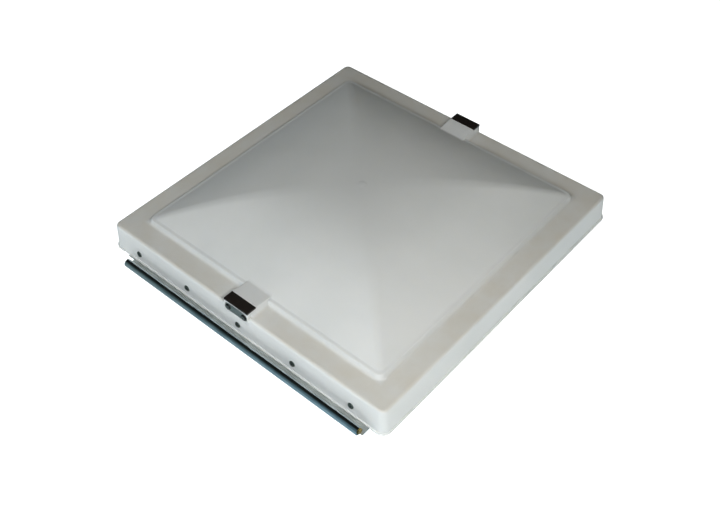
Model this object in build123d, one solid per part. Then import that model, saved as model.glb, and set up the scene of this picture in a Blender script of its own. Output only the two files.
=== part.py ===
from build123d import *
import math
import os

# Roof vent cover for a standard 14 inch roof vent, in millimetres, +Z up.
# The origin is the centre of the hinge's screw line, on the face that lies on the roof flange.
# The lid is drawn about its own centre, with z = 0 on the roof flange and the hinge on the -Y
# side, and every piece is shifted by LID_CENTRE_Y when it is written.
LID_CENTRE_Y = 190.0

# Lid plan: half widths of the square outline at each level
LIP_HALF = 203.0
LIP_HEIGHT = 3.0
LIP_CORNER_R = 11.0
SKIRT_HALF = 201.5
SKIRT_CORNER_R = 9.5
SKIRT_DRAFT = 4.54
RIM_Z = 34.0
RIM_EDGE_R = 3.5
STEP_HALF = 173.0
STEP_HEIGHT = 5.0
STEP_DRAFT = 30.0
STEP_CORNER_R = 10.0
DOME_HALF = 168.0
DOME_BASE_Z = 38.5
DOME_RISE = 34.0
DOME_POWER = 2.4
DOME_POINTS = 9
WALL = 2.5
GATE_R = 5.0
GATE_HEIGHT = 0.6
GATE_EDGE_R = 0.54
HINGE_RELIEF_Z = 2.0
HINGE_RELIEF_HALF = 186.0

# Bosses at the middle of the hinge side and of the front, where the lift rail ends
BOSS_HALF = 17.4
BOSS_FLARE = 5.0
BOSS_FLARE_R = 12.0
BOSS_INNER_Y = 158.0
BOSS_LOW_TOP_Z = 39.2
BOSS_TOP_Z = 43.0
BOSS_CAP_Y = 187.5
BOSS_FACE_Y = 200.2
BOSS_BOTTOM_Z = 26.0
BOSS_EDGE_R = 1.2
MOUTH_WIDTH = 32.4
MOUTH_HEIGHT = 12.4
MOUTH_Z = 33.4
MOUTH_FLOOR_Y = 198.6
FLANK_Y = 195.0
FIT_GAP = 0.05

# Black caps on the bosses
CAP_HALF = 17.4
CAP_THICKNESS = 2.2
CAP_EDGE_R = 0.5
CAP_PEG_R = 1.8
CAP_PEG_X = 12.0
CAP_PEG_LENGTH = 3.2
CAP_PEG_SPARE = 0.3

# Lift rail: an aluminium channel with its slot facing down
RAIL_WIDTH = 16.0
RAIL_HEIGHT = 8.5
RAIL_WALL = 1.2
RAIL_LIP = 3.5
RAIL_TOP_Z = 36.5
RAIL_END_Y = MOUTH_FLOOR_Y
RAIL_FIT = 0.2
POST_R = 5.0
CENTRE_SCREW_R = 1.75
CENTRE_SCREW_LENGTH = 14.0
CENTRE_HEAD_R = 3.4
CENTRE_HEAD_H = 1.6
CENTRE_DRIVE_R = 1.2
CENTRE_DRIVE_DEPTH = 0.7

# End plates that close the rail, each held by two screws
PLATE_THICKNESS = 1.5
PLATE_GAP = 0.25
PLATE_SCREW_X = 11.6
PLATE_SCREW_R = 1.4
PLATE_SCREW_LENGTH = 8.0
PLATE_HEAD_R = 3.6
PLATE_HEAD_H = 1.8
DRIVE_REACH = 2.2
DRIVE_HALF_WIDTH = 0.4
DRIVE_DEPTH = 0.8

# Slider that the lift arm pulls along the rail
SLIDER_Y = -30.0
SLIDER_LENGTH = 24.0
SLIDER_SIDE_GAP = 0.2
SLIDER_GROOVE = 8.0
SLIDER_GROOVE_DEPTH = 2.1
SLIDER_NECK = 8.4
LUG_LENGTH = 13.0
LUG_WIDTH = 10.0
LUG_BOTTOM_Z = 14.5
LUG_END_FLAT = 0.6
SHOE_CORNER_R = 1.5
EYE_R = 3.2
EYE_Z = 20.5

# Foam gasket under the rim
FOAM_INNER = 171.5
FOAM_OUTER = 187.0
FOAM_THICKNESS = 6.0
FOAM_LENGTH_HALF = 186.5
FOAM_END_GAP = 0.5
FOAM_NOTCH_GAP = 0.3

# Hinge: the lid leaf's curl turns inside the base leaf's curl
AXIS_Y = -213.3
AXIS_Z = 5.2
SHEET = 0.9
BASE_CURL_R = 5.2
BASE_CURL_ANGLE = 201.0
LID_CURL_R = 4.25
LID_CURL_ANGLE = 300.0
PIN_R = 3.3
TUBE_X0 = -165.0
TUBE_X1 = 180.0
CURL_INSET = 1.5
PIN_END = 1.0
BASE_FLANGE_Y = -181.0
BASE_CORNER_R = 5.0
SCREW_ROW_Y = -190.0
SCREW_HOLES_X = (-150.0, -50.0, 50.0, 150.0)
SCREW_HOLE_R = 2.25
LEAF_X0 = -176.0
LEAF_X1 = 184.0
LEAF_TOP = 20.0

# Five blind rivets through the skirt and the lid leaf
RIVET_X = (-158.0, -79.0, 0.0, 79.0, 158.0)
RIVET_Z = 13.0
RIVET_HEAD_R = 3.6
RIVET_HEAD_H = 1.3
RIVET_SHANK_R = 1.65
RIVET_HOLE_R = 1.7
RIVET_TAIL_R = 2.6
RIVET_TAIL_H = 2.6
RIVET_DOME = 0.8
RIVET_TAIL_DOME = 0.6
MANDREL_R = 0.9
MANDREL_SUNK = 0.35

SKIRT_SLOPE = math.tan(math.radians(SKIRT_DRAFT))


def block(x0, x1, y0, y1, z0, z1):
    """Return a box from its two corners."""
    size = (x1 - x0, y1 - y0, z1 - z0)
    centre = ((x0 + x1) / 2, (y0 + y1) / 2, (z0 + z1) / 2)
    return Pos(*centre) * Box(*size)


def rounded_slab(half, corner_r, z0, height, draft=0.0):
    """Return a square slab with rounded corners whose sides may lean inwards."""
    outline = Pos(0, 0, z0) * RectangleRounded(2 * half, 2 * half, corner_r)
    return extrude(outline, amount=height, dir=(0, 0, 1), taper=draft)


def vault(half, base_z, rise, floor_z):
    """Return the dome: four arched faces that meet on the diagonal ridges."""
    crest = []
    for i in range(DOME_POINTS):
        x = half * i / (DOME_POINTS - 1)
        crest.append((x, base_z + rise * (1 - (x / half) ** DOME_POWER)))
    arch = make_face(
        [
            Spline(*crest, tangents=[(1, 0), (1, -DOME_POWER * rise / half)]),
            Polyline((half, base_z), (half, floor_z), (0, floor_z), (0, base_z + rise)),
        ]
    )
    side = extrude(Plane.XZ * arch, amount=half, both=True)
    quarter = make_face(Polyline((0, 0), (half, -half), (half, half), close=True))
    side &= extrude(Pos(0, 0, floor_z) * quarter, amount=base_z + rise)
    dome = side
    for turn in (90, 180, 270):
        dome += Rot(0, 0, turn) * side
    return dome


def dome_height(reach):
    """Return the height of the dome's outside at a distance from its middle."""
    return DOME_BASE_Z + DOME_RISE * (1 - (reach / DOME_HALF) ** DOME_POWER)


def both_ends(piece):
    """Return the rear piece, drawn on the -Y side, and the same piece at the front."""
    return {"rear": piece, "front": Rot(0, 0, 180) * piece}


def boss_flank(half, flare, top_drop, z_floor):
    """Return the sloping top of a boss, with sides that sweep out onto the rim."""
    high = BOSS_TOP_Z - top_drop
    low = BOSS_LOW_TOP_Z - top_drop
    top = Plane.YZ * make_face(
        Polyline(
            (-BOSS_INNER_Y, z_floor),
            (-FLANK_Y, z_floor),
            (-FLANK_Y, high),
            (-BOSS_CAP_Y, high),
            (-BOSS_INNER_Y, low),
            close=True,
        )
    )
    side = extrude(top, amount=half + flare, both=True)
    if not flare:
        return side
    foot = half + flare
    section = Plane.XZ * make_face(
        [
            Polyline((half, high), (-half, high)),
            RadiusArc((-half, high), (-foot, RIM_Z), -BOSS_FLARE_R),
            Polyline((-foot, RIM_Z), (-foot, z_floor), (foot, z_floor), (foot, RIM_Z)),
            RadiusArc((foot, RIM_Z), (half, high), -BOSS_FLARE_R),
        ]
    )
    return side & extrude(section, amount=LIP_HALF)


def mouth(depth_from, depth_to, gap=0.0):
    """Return the rounded slot of the boss's end face, between two depths."""
    outline = SlotOverall(MOUTH_WIDTH - 2 * gap, MOUTH_HEIGHT - 2 * gap)
    plane = Plane(origin=(0, -depth_from, MOUTH_Z), x_dir=(1, 0, 0), z_dir=(0, -1, 0))
    return extrude(plane * outline, amount=depth_to - depth_from)


def rod_y(x, z, r, y0, y1):
    """Return a round bar along Y."""
    plane = Plane(origin=(x, y0, z), x_dir=(1, 0, 0), z_dir=(0, 1, 0))
    return extrude(plane * Circle(r), amount=y1 - y0)


def boss_outside():
    """Return the outside of the hinge-side boss."""
    flank = boss_flank(BOSS_HALF, BOSS_FLARE, 0.0, RIM_Z - 2.0)
    end = block(-BOSS_HALF, BOSS_HALF, -BOSS_FACE_Y, -BOSS_CAP_Y, BOSS_BOTTOM_Z, BOSS_TOP_Z)
    corners = end.edges().filter_by(Axis.Z).group_by(Axis.Y)[0]
    return flank + fillet(corners, BOSS_EDGE_R)


def boss_cuts():
    """Return what is taken out of the hinge-side boss."""
    hollow = boss_flank(BOSS_HALF - WALL, 0.0, WALL, RIM_Z - WALL - 1.0)
    back_y = BOSS_CAP_Y - WALL
    hollow &= block(-BOSS_HALF, BOSS_HALF, -back_y, 0, 0, BOSS_TOP_Z)
    seat_z = BOSS_TOP_Z - CAP_THICKNESS
    seat_half = BOSS_HALF + BOSS_FLARE
    seat = block(-seat_half, seat_half, -BOSS_FACE_Y, -BOSS_CAP_Y, seat_z, BOSS_TOP_Z)
    window = block(
        -RAIL_WIDTH / 2 - RAIL_FIT,
        RAIL_WIDTH / 2 + RAIL_FIT,
        -MOUTH_FLOOR_Y,
        -back_y,
        RAIL_TOP_Z - RAIL_HEIGHT - RAIL_FIT,
        RAIL_TOP_Z + RAIL_FIT,
    )
    cuts = hollow + seat + window + mouth(MOUTH_FLOOR_Y, BOSS_FACE_Y)
    for x in (-PLATE_SCREW_X, PLATE_SCREW_X):
        cuts += rod_y(x, MOUTH_Z, PLATE_SCREW_R + FIT_GAP, -MOUTH_FLOOR_Y, -BOSS_CAP_Y)
    for x in (-CAP_PEG_X, CAP_PEG_X):
        depth = CAP_PEG_LENGTH + CAP_PEG_SPARE
        hole = Cylinder(CAP_PEG_R + FIT_GAP, depth)
        cuts += Pos(x, cap_middle_y(), seat_z - depth / 2) * hole
    return cuts


def cap_middle_y():
    """Return the middle of the cap's seat on the hinge side."""
    return -(BOSS_FACE_Y + BOSS_CAP_Y) / 2


def lid_outside():
    """Return the lid as a solid block, before it is hollowed."""
    lip = rounded_slab(LIP_HALF, LIP_CORNER_R, 0, LIP_HEIGHT)
    skirt = rounded_slab(SKIRT_HALF, SKIRT_CORNER_R, 0, RIM_Z, SKIRT_DRAFT)
    skirt = fillet(skirt.faces().sort_by(Axis.Z)[-1].edges(), RIM_EDGE_R)
    step = rounded_slab(STEP_HALF, STEP_CORNER_R, RIM_Z, STEP_HEIGHT, STEP_DRAFT)
    dome = vault(DOME_HALF, DOME_BASE_Z, DOME_RISE, RIM_Z)
    return lip + skirt + step + dome


def lid_inside():
    """Return the hollow under the lid."""
    below = 1.0
    skirt_half = SKIRT_HALF - WALL + below * SKIRT_SLOPE
    skirt_r = SKIRT_CORNER_R - WALL
    skirt = rounded_slab(skirt_half, skirt_r, -below, RIM_Z - WALL + below, SKIRT_DRAFT)
    step_half = STEP_HALF - WALL
    step = rounded_slab(step_half, STEP_CORNER_R - WALL, RIM_Z - WALL, STEP_HEIGHT, STEP_DRAFT)
    dome = vault(DOME_HALF - WALL, DOME_BASE_Z - WALL, DOME_RISE, RIM_Z - WALL)
    return skirt + step + dome


def rivet_plane(x, offset=0.0):
    """Return the plane square to the hinge-side skirt at a rivet, pointing outwards."""
    y = -(SKIRT_HALF - RIVET_Z * SKIRT_SLOPE)
    draft = math.radians(SKIRT_DRAFT)
    outwards = (0, -math.cos(draft), math.sin(draft))
    origin = Vector(x, y, RIVET_Z) + Vector(*outwards) * offset
    return Plane(origin=origin, x_dir=(1, 0, 0), z_dir=outwards)


def rivet_rods(r, offset, length):
    """Return five round bars along the rivets."""
    rods = []
    for x in RIVET_X:
        rods.append(extrude(rivet_plane(x, offset) * Circle(r), amount=length))
    return rods


def lid_shell():
    """Return the moulded lid: skirt, rim, step, dome, two bosses and the centre post."""
    outside = lid_outside()
    gate = Pos(0, 0, dome_height(0) - 1) * Cylinder(GATE_R, 2 * (1 + GATE_HEIGHT))
    outside += fillet(gate.edges().group_by(Axis.Z)[-1], GATE_EDGE_R)
    cuts = lid_inside()
    top = dome_height(0) - WALL / 2
    post = Pos(0, 0, (RAIL_TOP_Z + top) / 2) * Cylinder(POST_R, top - RAIL_TOP_Z)
    pilot_depth = CENTRE_SCREW_LENGTH
    pilot = Pos(0, 0, RAIL_TOP_Z + pilot_depth / 2) * Cylinder(CENTRE_SCREW_R + FIT_GAP, pilot_depth)
    bosses = both_ends(boss_outside()).values()
    for boss in bosses:
        outside += boss
    reach = SKIRT_HALF - WALL
    shell = outside - cuts
    for end_block in both_ends(boss_inner_block(reach)).values():
        shell += end_block
    for cut in both_ends(boss_cuts()).values():
        shell -= cut
    shell += post - pilot
    shell -= block(
        -HINGE_RELIEF_HALF, HINGE_RELIEF_HALF, -LIP_HALF, -SKIRT_HALF / 2, 0, HINGE_RELIEF_Z
    )
    for hole in rivet_rods(RIVET_HOLE_R, -2 * WALL, 4 * WALL):
        shell -= hole
    return shell


def boss_inner_block(reach):
    """Return the thick end of the boss, behind the skirt, that holds the screws."""
    return block(
        -BOSS_HALF, BOSS_HALF, -reach, -BOSS_CAP_Y, BOSS_BOTTOM_Z, BOSS_TOP_Z - CAP_THICKNESS
    )


def boss_cap():
    """Return the cap that lies in the seat on top of the hinge-side boss."""
    z0 = BOSS_TOP_Z - CAP_THICKNESS
    plate = block(-CAP_HALF, CAP_HALF, -BOSS_FACE_Y, -BOSS_CAP_Y, z0, BOSS_TOP_Z)
    plate = fillet(plate.edges().group_by(Axis.Z)[-1], CAP_EDGE_R)
    for x in (-CAP_PEG_X, CAP_PEG_X):
        peg = Cylinder(CAP_PEG_R, CAP_PEG_LENGTH)
        plate += Pos(x, cap_middle_y(), z0 - CAP_PEG_LENGTH / 2) * peg
    return plate


def lift_rail():
    """Return the channel that runs from boss to boss under the dome."""
    half = RAIL_WIDTH / 2
    bottom = RAIL_TOP_Z - RAIL_HEIGHT
    bar = block(-half, half, -RAIL_END_Y, RAIL_END_Y, bottom, RAIL_TOP_Z)
    inner = half - RAIL_WALL
    y = RAIL_END_Y + 1
    bar -= block(-inner, inner, -y, y, bottom + RAIL_WALL, RAIL_TOP_Z - RAIL_WALL)
    slot = half - RAIL_LIP
    bar -= block(-slot, slot, -y, y, bottom - 1, bottom + 2 * RAIL_WALL)
    hole = Cylinder(CENTRE_SCREW_R + 2 * FIT_GAP, 3 * RAIL_WALL)
    return bar - Pos(0, 0, RAIL_TOP_Z) * hole


def centre_screw():
    """Return the pan-head screw that holds the rail up to the lid's post."""
    head_top = RAIL_TOP_Z - RAIL_WALL
    head = Pos(0, 0, head_top - CENTRE_HEAD_H / 2) * Cylinder(CENTRE_HEAD_R, CENTRE_HEAD_H)
    head = fillet(head.edges().group_by(Axis.Z)[0], CENTRE_HEAD_H / 2)
    length = CENTRE_SCREW_LENGTH - 1
    shank = Pos(0, 0, head_top + length / 2) * Cylinder(CENTRE_SCREW_R, length)
    drive = Cylinder(CENTRE_DRIVE_R, 2 * CENTRE_DRIVE_DEPTH)
    drive = Pos(0, 0, head_top - CENTRE_HEAD_H) * drive
    return head + shank - drive


def end_plate():
    """Return the plate that closes the hinge-side end of the rail."""
    plate = mouth(MOUTH_FLOOR_Y, MOUTH_FLOOR_Y + PLATE_THICKNESS, PLATE_GAP)
    for x in (-PLATE_SCREW_X, PLATE_SCREW_X):
        y0 = -MOUTH_FLOOR_Y - PLATE_THICKNESS - 1
        plate -= rod_y(x, MOUTH_Z, PLATE_SCREW_R + 2 * FIT_GAP, y0, -MOUTH_FLOOR_Y + 1)
    return plate


def cross_drive(x, floor_y):
    """Return the cross-shaped recess of an end plate screw."""
    far, thin = DRIVE_REACH, DRIVE_HALF_WIDTH
    y0 = floor_y - 2 * DRIVE_DEPTH
    flat = block(x - far, x + far, y0, floor_y, MOUTH_Z - thin, MOUTH_Z + thin)
    return flat + block(x - thin, x + thin, y0, floor_y, MOUTH_Z - far, MOUTH_Z + far)


def end_plate_screws():
    """Return the two screws of the hinge-side end plate."""
    screws = []
    face = -MOUTH_FLOOR_Y - PLATE_THICKNESS
    for x in (-PLATE_SCREW_X, PLATE_SCREW_X):
        head = rod_y(x, MOUTH_Z, PLATE_HEAD_R, face - PLATE_HEAD_H, face)
        head = fillet(head.edges().group_by(Axis.Y)[0], PLATE_HEAD_H / 2)
        shank = rod_y(x, MOUTH_Z, PLATE_SCREW_R, face, face + PLATE_SCREW_LENGTH)
        drive = cross_drive(x, face - PLATE_HEAD_H + DRIVE_DEPTH)
        screws.append(head + shank - drive)
    return screws


def rail_slider():
    """Return the nylon shoe that runs in the rail, with the lug for the lift arm."""
    half = RAIL_WIDTH / 2 - RAIL_WALL - SLIDER_SIDE_GAP
    bottom = RAIL_TOP_Z - RAIL_HEIGHT
    z0 = bottom + RAIL_WALL + SLIDER_SIDE_GAP
    z1 = RAIL_TOP_Z - RAIL_WALL - SLIDER_SIDE_GAP
    y0 = SLIDER_Y - SLIDER_LENGTH / 2
    y1 = SLIDER_Y + SLIDER_LENGTH / 2
    shoe = block(-half, half, y0, y1, z0, z1)
    shoe = fillet(shoe.edges().filter_by(Axis.Z), SHOE_CORNER_R)
    groove = SLIDER_GROOVE / 2
    shoe -= block(-groove, groove, y0, y1, z1 - SLIDER_GROOVE_DEPTH, z1)
    lug_y0 = SLIDER_Y - LUG_LENGTH / 2
    lug_y1 = SLIDER_Y + LUG_LENGTH / 2
    neck = SLIDER_NECK / 2
    shoe += block(-neck, neck, lug_y0, lug_y1, bottom - 1, z0)
    lug = block(-LUG_WIDTH / 2, LUG_WIDTH / 2, lug_y0, lug_y1, LUG_BOTTOM_Z, bottom - 1)
    lug = fillet(lug.edges().filter_by(Axis.X).group_by(Axis.Z)[0], LUG_LENGTH / 2 - LUG_END_FLAT)
    eye = Pos(0, SLIDER_Y, EYE_Z) * Rot(0, 90, 0) * Cylinder(EYE_R, 3 * LUG_WIDTH)
    return shoe + lug - eye


def foam_strip(crosses_rail):
    """Return the foam strip under the hinge side of the rim."""
    top = RIM_Z - WALL
    bottom = top - FOAM_THICKNESS
    length = FOAM_LENGTH_HALF if crosses_rail else FOAM_INNER - FOAM_END_GAP
    strip = block(-length, length, -FOAM_OUTER, -FOAM_INNER, bottom, top)
    if crosses_rail:
        half = RAIL_WIDTH / 2 + FOAM_NOTCH_GAP
        notch_z = RAIL_TOP_Z - RAIL_HEIGHT - FOAM_NOTCH_GAP
        strip -= block(-half, half, -FOAM_OUTER - 1, -FOAM_INNER + 1, notch_z, top + 1)
    return strip


def curl(r, turn):
    """Return the profile of a rolled leaf edge, from its bottom outwards and over the top."""
    start = math.radians(270)
    end = math.radians(270 - turn)
    mid = (start + end) / 2
    inner = r - SHEET

    def at(radius, angle):
        return (AXIS_Y + radius * math.cos(angle), AXIS_Z + radius * math.sin(angle))

    return make_face(
        [
            ThreePointArc(at(r, start), at(r, mid), at(r, end)),
            Line(at(r, end), at(inner, end)),
            ThreePointArc(at(inner, end), at(inner, mid), at(inner, start)),
            Line(at(inner, start), at(r, start)),
        ]
    )


def along_x(profile, x0, x1):
    """Extrude a profile drawn as (y, z) from x0 to x1."""
    return Pos(x0, 0, 0) * extrude(Plane.YZ * profile, amount=x1 - x0)


def base_hinge_leaf():
    """Return the leaf that is screwed to the roof flange, with the outer curl."""
    tube = along_x(curl(BASE_CURL_R, BASE_CURL_ANGLE), TUBE_X0, TUBE_X1)
    flange = block(TUBE_X0, TUBE_X1, AXIS_Y, BASE_FLANGE_Y, 0, SHEET)
    corners = flange.edges().filter_by(Axis.Z).group_by(Axis.Y)[-1]
    leaf = tube + fillet(corners, BASE_CORNER_R)
    for x in SCREW_HOLES_X:
        leaf -= Pos(x, SCREW_ROW_Y, 0) * Cylinder(SCREW_HOLE_R, 4 * SHEET)
    return leaf


def lid_hinge_leaf():
    """Return the leaf riveted inside the skirt, whose curl turns inside the other one."""
    rolled = along_x(curl(LID_CURL_R, LID_CURL_ANGLE), TUBE_X0 + CURL_INSET, TUBE_X1 - CURL_INSET)
    low = AXIS_Z - LID_CURL_R
    face_at = SKIRT_HALF - WALL

    def skin(z, depth):
        return (-(face_at - z * SKIRT_SLOPE - depth), z)

    strip = make_face(
        Polyline(
            (AXIS_Y, low),
            skin(low, SHEET),
            skin(LEAF_TOP, SHEET),
            skin(LEAF_TOP, 0),
            skin(low + SHEET, 0),
            (AXIS_Y, low + SHEET),
            close=True,
        )
    )
    leaf = rolled + along_x(strip, LEAF_X0, LEAF_X1)
    leaf -= block(LEAF_X0 - 1, TUBE_X0 - 1, AXIS_Y - 1, -LIP_HALF - 1, -1, LIP_HEIGHT)
    for hole in rivet_rods(RIVET_HOLE_R, -3 * WALL, 4 * WALL):
        leaf -= hole
    return leaf


def hinge_pin():
    """Return the pin inside the curls."""
    return along_x(Pos(AXIS_Y, AXIS_Z) * Circle(PIN_R), TUBE_X0 - PIN_END, TUBE_X1 + PIN_END)


def hinge_rivets():
    """Return the five blind rivets, each a domed head, a shank and a formed tail."""
    rivets = []
    stack = WALL / math.cos(math.radians(SKIRT_DRAFT)) + SHEET
    for x in RIVET_X:
        plane = rivet_plane(x)
        head = extrude(plane * Circle(RIVET_HEAD_R), amount=RIVET_HEAD_H)
        head = fillet(head.edges().sort_by(Axis.Y)[0], RIVET_HEAD_H * RIVET_DOME)
        shank = extrude(plane * Circle(RIVET_SHANK_R), amount=-stack)
        tail = extrude(rivet_plane(x, -stack) * Circle(RIVET_TAIL_R), amount=-RIVET_TAIL_H)
        tail = fillet(tail.edges().sort_by(Axis.Y)[-1], RIVET_TAIL_H * RIVET_TAIL_DOME)
        reach = RIVET_HEAD_H + stack + RIVET_TAIL_H
        bore = extrude(rivet_plane(x, 1 + RIVET_HEAD_H) * Circle(MANDREL_R), amount=-reach - 2)
        rivets.append(head + shank + tail - bore)
    return rivets


def rivet_mandrels():
    """Return the five broken-off mandrels left in the rivets."""
    stack = WALL / math.cos(math.radians(SKIRT_DRAFT)) + SHEET
    top = RIVET_HEAD_H - MANDREL_SUNK
    return rivet_rods(MANDREL_R, top, -(top + stack + RIVET_TAIL_H))


def write(name, *solids):
    """Shift a piece from the lid's own frame and write it as one STEP file."""
    placed = [Pos(0, LID_CENTRE_Y, 0) * solid for solid in solids]
    piece = placed[0] if len(placed) == 1 else Compound(children=placed)
    export_step(piece, f"parts/{name}.step")


def main():
    os.makedirs("parts", exist_ok=True)
    write("lid_shell", lid_shell())
    for end, piece in both_ends(boss_cap()).items():
        write(f"{end}_boss_cap", piece)
    for end, piece in both_ends(end_plate()).items():
        write(f"{end}_rail_end_plate", piece)
    screws = end_plate_screws()
    write("rear_end_plate_screws", *screws)
    write("front_end_plate_screws", *[Rot(0, 0, 180) * screw for screw in screws])
    write("lift_rail", lift_rail())
    write("rail_centre_screw", centre_screw())
    write("rail_slider", rail_slider())
    for end, piece in both_ends(foam_strip(True)).items():
        write(f"{end}_foam_strip", piece)
    side = foam_strip(False)
    write("left_foam_strip", Rot(0, 0, -90) * side)
    write("right_foam_strip", Rot(0, 0, 90) * side)
    write("base_hinge_leaf", base_hinge_leaf())
    write("lid_hinge_leaf", lid_hinge_leaf())
    write("hinge_pin", hinge_pin())
    write("hinge_rivets", *hinge_rivets())
    write("rivet_mandrels", *rivet_mandrels())


main()
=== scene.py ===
# %% [markdown]
# # A roof vent lid, in cells
# The object is the lid of a caravan roof vent: one square moulding of milky white plastic with a
# low pyramid dome, a full-length steel hinge along one side, a lift rail under the dome and a
# strip of foam round the rim. The mechanical model is already finished, so this script first
# loads it as a fixed frame. Everything after that is looks: a better skin for the moulding and
# the foam, a finish for every piece, light, floor and camera.

# %% Load the frame
import math

import bpy
import numpy as np
from mathutils import Matrix, Vector


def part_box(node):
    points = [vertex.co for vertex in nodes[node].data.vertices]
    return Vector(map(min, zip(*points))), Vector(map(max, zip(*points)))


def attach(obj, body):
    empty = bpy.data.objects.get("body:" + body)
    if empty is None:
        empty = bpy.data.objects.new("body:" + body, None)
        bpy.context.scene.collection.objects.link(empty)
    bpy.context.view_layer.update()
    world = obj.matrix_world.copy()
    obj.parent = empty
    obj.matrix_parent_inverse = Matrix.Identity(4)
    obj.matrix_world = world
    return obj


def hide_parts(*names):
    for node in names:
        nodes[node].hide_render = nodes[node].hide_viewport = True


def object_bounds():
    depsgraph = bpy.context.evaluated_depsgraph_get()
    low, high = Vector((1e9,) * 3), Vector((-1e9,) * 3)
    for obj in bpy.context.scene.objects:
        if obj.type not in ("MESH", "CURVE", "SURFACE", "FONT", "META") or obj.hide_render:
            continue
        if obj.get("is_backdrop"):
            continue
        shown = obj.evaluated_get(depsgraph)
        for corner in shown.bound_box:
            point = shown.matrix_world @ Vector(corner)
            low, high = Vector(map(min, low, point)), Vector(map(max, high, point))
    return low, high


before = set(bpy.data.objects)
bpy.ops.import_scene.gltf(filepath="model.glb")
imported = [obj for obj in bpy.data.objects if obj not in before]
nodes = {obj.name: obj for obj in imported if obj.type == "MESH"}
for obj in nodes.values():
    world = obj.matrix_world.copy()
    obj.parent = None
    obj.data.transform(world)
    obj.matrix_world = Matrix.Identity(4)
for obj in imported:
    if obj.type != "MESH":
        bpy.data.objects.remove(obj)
cad_low, cad_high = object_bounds()
MM = 0.001
print("frame:", len(nodes), "nodes, size in mm", [round(v / MM, 1) for v in cad_high - cad_low])

# %% [markdown]
# ## Where things are
# Every size below is measured on the frame or is a size of the moulding itself. The lid is
# square, so nearly everything about it can be said with two numbers: how far a point is from the
# lid's middle, and how high it is. Those are kept in millimetres, and one scale at the end turns
# them into Blender's metres.

# %% Main sizes
lid_low, lid_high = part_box("lid_shell")
LID_MIDDLE = (lid_low + lid_high) / 2
LIP = (lid_high.x - lid_low.x) / 2 / MM
GATE_HEIGHT = 0.6
CROWN_Z = lid_high.z / MM - GATE_HEIGHT
WALL = 2.5
RIM_Z = 34.0
RIM_UNDER = RIM_Z - WALL
RIM_EDGE_R = 3.5
print("half width over the lip", LIP, "mm, crown at", round(CROWN_Z, 1), "mm, wall", WALL, "mm")

# %% [markdown]
# ## Two formulas for the outside
# The dome is not a flat-sided pyramid: each face starts nearly level at the crown and steepens
# towards its foot, as a sagging sheet does. A power curve says that in one line, and its exponent
# sets how full the dome looks. The skirt is straight, but leans in by a few degrees of draft, or
# the moulding could never leave its mould.

# %% Dome and skirt
DOME_HALF = 168.0
DOME_BASE_Z = 38.5
DOME_POWER = 2.4
SKIRT_HALF = LIP - 1.5
DRAFT = math.radians(4.54)


def dome_z(reach):
    """Height of the dome's outside, reach mm from the middle of the lid."""
    return DOME_BASE_Z + (CROWN_Z - DOME_BASE_Z) * (1 - (reach / DOME_HALF) ** DOME_POWER)


def skirt_half(z):
    """Half width of the skirt's outside at height z."""
    return SKIRT_HALF - z * math.tan(DRAFT)


print("dome half way out", round(dome_z(DOME_HALF / 2), 1), "mm high")
print("rim half width", round(skirt_half(RIM_Z), 1), "mm")

# %% [markdown]
# ## The moulding as a stack of rings
# The shell could be carved with booleans, or sculpted, but it is easier to control as a stack of
# rings, like the hoops of a barrel: each ring is a square with rounded corners, at one height.
# From the crown outwards the rings go down the dome, over the step, across the rim, round its
# edge and down the skirt to the lip. Close rings make a tight edge, and wide ones a flat.

# %% Corner radius of a ring
RIM_FLAT_END = skirt_half(RIM_Z) - RIM_EDGE_R * math.tan((math.pi / 2 - DRAFT) / 2)
DOME_FOOT = 167.0
STEP_FOOT = 174.6
RIDGE_R = 6.0
RIDGE_WIDENING = 0.055
STEP_ARC_AT = 163.0
SKIRT_ARC_AT = 192.0


def corner_radius(half):
    """Corner radius of a ring: it widens towards the crown, which softens the dome's ridges."""
    if half <= DOME_FOOT:
        return min(half, RIDGE_R + (DOME_FOOT - half) * RIDGE_WIDENING)
    if half <= STEP_FOOT:
        return half - STEP_ARC_AT
    if half >= RIM_FLAT_END:
        return half - SKIRT_ARC_AT
    share = (half - STEP_FOOT) / (RIM_FLAT_END - STEP_FOOT)
    return half - (STEP_ARC_AT + share * (SKIRT_ARC_AT - STEP_ARC_AT))


for half in (20.0, DOME_FOOT, LIP):
    print("ring of half width", half, "mm: corner radius", round(corner_radius(half), 1), "mm")
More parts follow.
